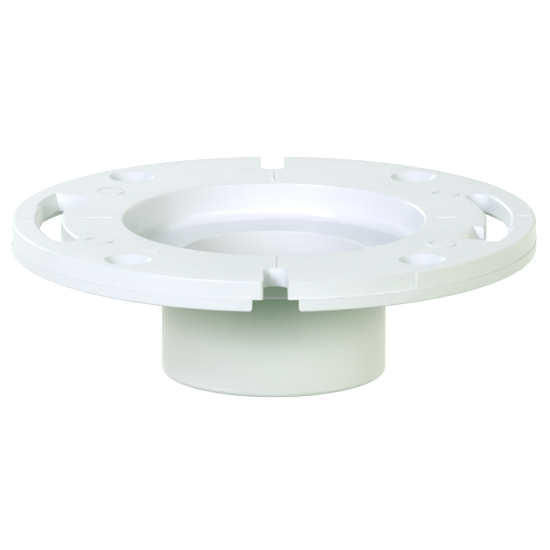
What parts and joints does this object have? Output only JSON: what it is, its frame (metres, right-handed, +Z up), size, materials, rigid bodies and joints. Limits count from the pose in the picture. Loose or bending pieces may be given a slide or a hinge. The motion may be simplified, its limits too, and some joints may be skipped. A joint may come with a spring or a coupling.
{
  "type": "toilet flange",
  "caption": "Round white plastic closet flange with a shallow funnel bowl, a short pipe spigot, curved keyhole bolt slots, open bolt notches and countersunk screw holes.",
  "frame": {"origin": "centre of the bore at the lower end of the spigot, which is the centre of the part's base", "axes": "+Z up along the bore, -Y the front with one open bolt notch, +X to the right through one keyhole slot"},
  "size_m": [0.1782, 0.1776, 0.0537],
  "materials": {
    "plate_pvc": "smooth gloss white",
    "skirt_pvc": "smooth gloss white",
    "bowl_pvc": "polished gloss white",
    "spigot_pvc": "smooth satin-gloss white",
    "boss_pvc": "smooth gloss white",
    "bead_pvc": "smooth gloss white"
  },
  "bodies": {
    "root": {"mounting_plate": "plate_pvc", "skirt_left": "skirt_pvc", "skirt_right": "skirt_pvc", "funnel_bowl": "bowl_pvc", "spigot": "spigot_pvc", "screw_boss_front_left": "boss_pvc", "screw_boss_front_right": "boss_pvc", "screw_boss_back_left": "boss_pvc", "screw_boss_back_right": "boss_pvc", "index_bead_front": "bead_pvc", "index_bead_back": "bead_pvc", "index_bead_left_inner": "bead_pvc", "index_bead_left_outer": "bead_pvc", "index_bead_right_inner": "bead_pvc", "index_bead_right_outer": "bead_pvc"}
  },
  "joints": []
}
